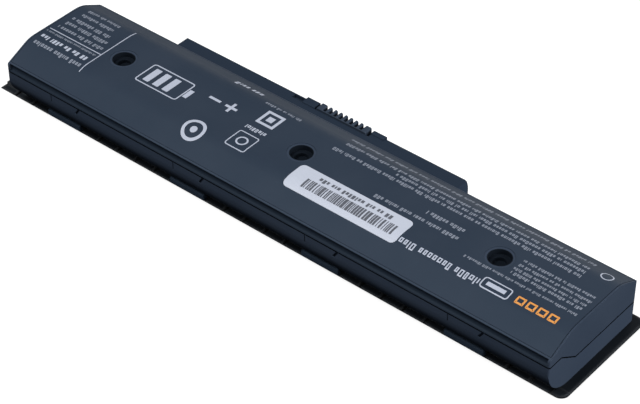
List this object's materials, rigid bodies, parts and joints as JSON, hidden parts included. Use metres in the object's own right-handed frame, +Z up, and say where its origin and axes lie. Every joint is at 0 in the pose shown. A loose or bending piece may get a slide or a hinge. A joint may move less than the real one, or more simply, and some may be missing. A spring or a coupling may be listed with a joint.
{
  "type": "laptop battery",
  "caption": "Long removable notebook battery with rounded nose, label face with round sockets, rear tongue with connector comb, and a wider cover plate with vent pockets.",
  "frame": {"origin": "middle of the bounding box at the cover plate's underside", "axes": "+X along the pack, +Y from the rounded nose to the connector tongue, +Z up to the label face"},
  "size_m": [0.243, 0.0564, 0.0229],
  "materials": {
    "case_plastic": "fine-grained satin",
    "cover_plastic": "fine-grained matt",
    "film": "satin",
    "sticker": "matt white",
    "comb_plastic": "satin",
    "contact_metal": "gold plated",
    "cell_wrap": "shrink wrap",
    "ring_paper": "matt paper",
    "nickel": "bright strip",
    "foam": "closed-cell foam",
    "tape": "adhesive tape",
    "board": "solder mask",
    "chip": "moulded",
    "fuse_ceramic": "ceramic",
    "resistor_metal": "brushed",
    "capacitor_ceramic": "ceramic",
    "sensor_resin": "dipped resin",
    "sheet": "fish paper",
    "lead_black": "insulation",
    "lead_red": "insulation"
  },
  "bodies": {
    "root": {"upper_case": "case_plastic", "lower_case": "case_plastic", "cover_plate": "cover_plastic", "label_film": "film", "barcode_sticker": "sticker", "connector_housing": "comb_plastic", "contact_blades": "contact_metal", "cell_front_1": "cell_wrap", "cell_front_2": "cell_wrap", "cell_front_3": "cell_wrap", "cell_back_1": "cell_wrap", "cell_back_2": "cell_wrap", "cell_back_3": "cell_wrap", "insulator_rings": "ring_paper", "negative_strip": "nickel", "link_strip_left": "nickel", "link_strip_right": "nickel", "positive_strip": "nickel", "end_pads": "foam", "cell_tapes": "tape", "protection_board": "board", "insulation_sheet": "sheet", "gauge_chip": "chip", "power_switches": "chip", "pack_fuse": "fuse_ceramic", "sense_resistor": "resistor_metal", "capacitors": "capacitor_ceramic", "temperature_sensor": "sensor_resin", "negative_lead": "lead_black", "positive_lead": "lead_red"}
  },
  "joints": []
}
